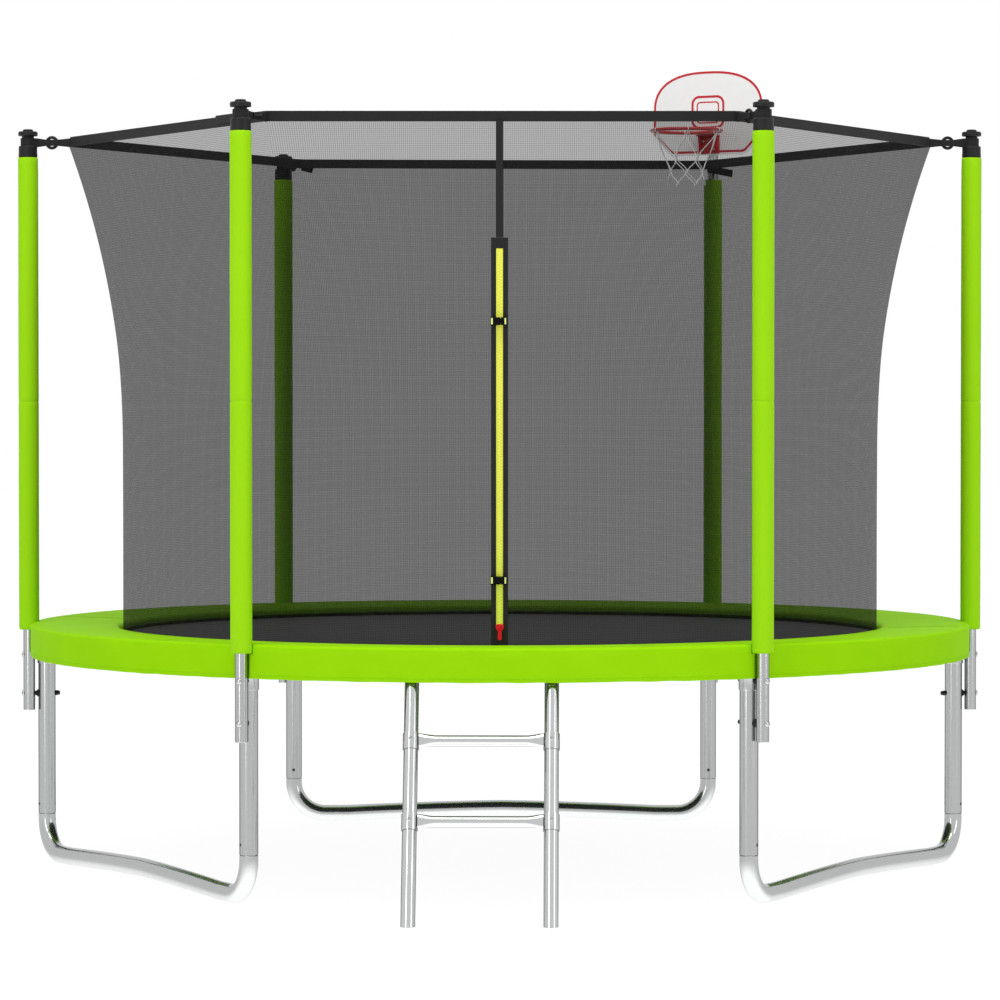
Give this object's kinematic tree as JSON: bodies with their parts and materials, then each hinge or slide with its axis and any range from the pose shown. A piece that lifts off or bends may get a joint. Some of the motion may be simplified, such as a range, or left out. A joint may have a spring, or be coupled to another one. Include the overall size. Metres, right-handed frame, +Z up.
{
  "type": "trampoline",
  "caption": "Round garden trampoline on bent tube legs, with a lime spring pad, foam-covered net poles, a zipped safety net, a hook-on ladder and a small basketball hoop.",
  "frame": {"origin": "the middle of the base of the whole object's bounding box, on the floor", "axes": "+Z up; the ladder and the zipped door face -Y; +X is to the right of someone who faces the door"},
  "size_m": [3.1724, 3.3572, 2.7144],
  "materials": {
    "galvanised_tube": "hot-dip galvanised steel tube, satin with faint lengthwise streaks",
    "zinc_bolt": "zinc plated bolt with a black spacer and nut",
    "zinc_spring": "zinc plated spring steel",
    "lime_cover": "lime green coated cloth over foam, softly glossy",
    "black_plastic": "moulded black plastic, satin",
    "black_mat": "tightly woven black mat",
    "net": "fine black open mesh",
    "black_webbing": "woven black webbing and edge tape",
    "yellow_zipper": "yellow zipper tape with moulded teeth",
    "red_metal": "red paint, semi-gloss",
    "board_plastic": "frosted white board with printed red lines",
    "white_cord": "knotted white cord"
  },
  "bodies": {
    "frame": {"ring_section_right": "galvanised_tube", "ring_section_back_right": "galvanised_tube", "ring_section_back_left": "galvanised_tube", "ring_section_left": "galvanised_tube", "ring_section_front_left": "galvanised_tube", "ring_section_front_right": "galvanised_tube", "leg_base_back": "galvanised_tube", "leg_base_left": "galvanised_tube", "leg_base_right": "galvanised_tube", "leg_upright_right": "galvanised_tube", "leg_upright_back_right": "galvanised_tube", "leg_upright_back_left": "galvanised_tube", "leg_upright_left": "galvanised_tube", "leg_upright_front_left": "galvanised_tube", "leg_upright_front_right": "galvanised_tube", "pole_right": "galvanised_tube", "pole_back_right": "galvanised_tube", "pole_back_left": "galvanised_tube", "pole_left": "galvanised_tube", "pole_front_left": "galvanised_tube", "pole_front_right": "galvanised_tube", "pole_foam_right": "lime_cover", "pole_foam_back_right": "lime_cover", "pole_foam_back_left": "lime_cover", "pole_foam_left": "lime_cover", "pole_foam_front_left": "lime_cover", "pole_foam_front_right": "lime_cover", "pole_bolt_right": "zinc_bolt", "pole_bolt_back_right": "zinc_bolt", "pole_bolt_back_left": "zinc_bolt", "pole_bolt_left": "zinc_bolt", "pole_bolt_front_left": "zinc_bolt", "pole_bolt_front_right": "zinc_bolt", "pole_cap_right": "black_plastic", "pole_cap_back_left": "black_plastic", "pole_cap_left": "black_plastic", "pole_cap_front_left": "black_plastic", "pole_cap_front_right": "black_plastic", "mat_springs": "zinc_spring", "spring_pad": "lime_cover", "safety_net": "net", "net_top_band": "black_webbing", "door_flap": "black_webbing", "door_zipper": "yellow_zipper", "buckle_socket_upper": "black_plastic", "buckle_socket_lower": "black_plastic", "hoop_stem": "galvanised_tube", "hoop_board": "board_plastic", "hoop_bracket": "red_metal", "hoop_rim": "red_metal", "hoop_net": "white_cord"},
    "mat": {"jump_mat": "black_mat"},
    "slider": {"zip_slider": "red_metal"},
    "pull": {"zip_pull": "red_metal"},
    "clip_upper": {"buckle_clip_upper": "black_plastic"},
    "clip_lower": {"buckle_clip_lower": "black_plastic"},
    "ladder": {"ladder_rail_left": "galvanised_tube", "ladder_rail_right": "galvanised_tube", "ladder_rung_upper": "galvanised_tube", "ladder_rung_lower": "galvanised_tube"}
  },
  "joints": [
    {"name": "mat_bounce", "type": "slide", "parent": "frame", "child": "mat", "axis": [0, 0, 1], "range_m": [-0.3, 0], "stiffness_N_per_m": 5000, "springref_m": 0.04, "deforming": ["mat_springs"]},
    {"name": "zipper_slide", "type": "slide", "parent": "frame", "child": "slider", "axis": [0, 0, 1], "range_m": [0, 1.12]},
    {"name": "pull_hinge", "type": "hinge", "parent": "slider", "child": "pull", "pos_m": [0, -1.1132, 0.833], "axis": [-1, 0, 0], "range_deg": [0, 150]},
    {"name": "buckle_upper_release", "type": "slide", "parent": "frame", "child": "clip_upper", "axis": [1, 0, 0], "range_m": [0, 0.03]},
    {"name": "buckle_lower_release", "type": "slide", "parent": "frame", "child": "clip_lower", "axis": [1, 0, 0], "range_m": [0, 0.03]},
    {"name": "ladder_swing", "type": "hinge", "parent": "frame", "child": "ladder", "pos_m": [-0.04918, -1.34387, 0.73216], "axis": [-0.9995, 0.0332, 0], "range_deg": [0, 11]}
  ]
}
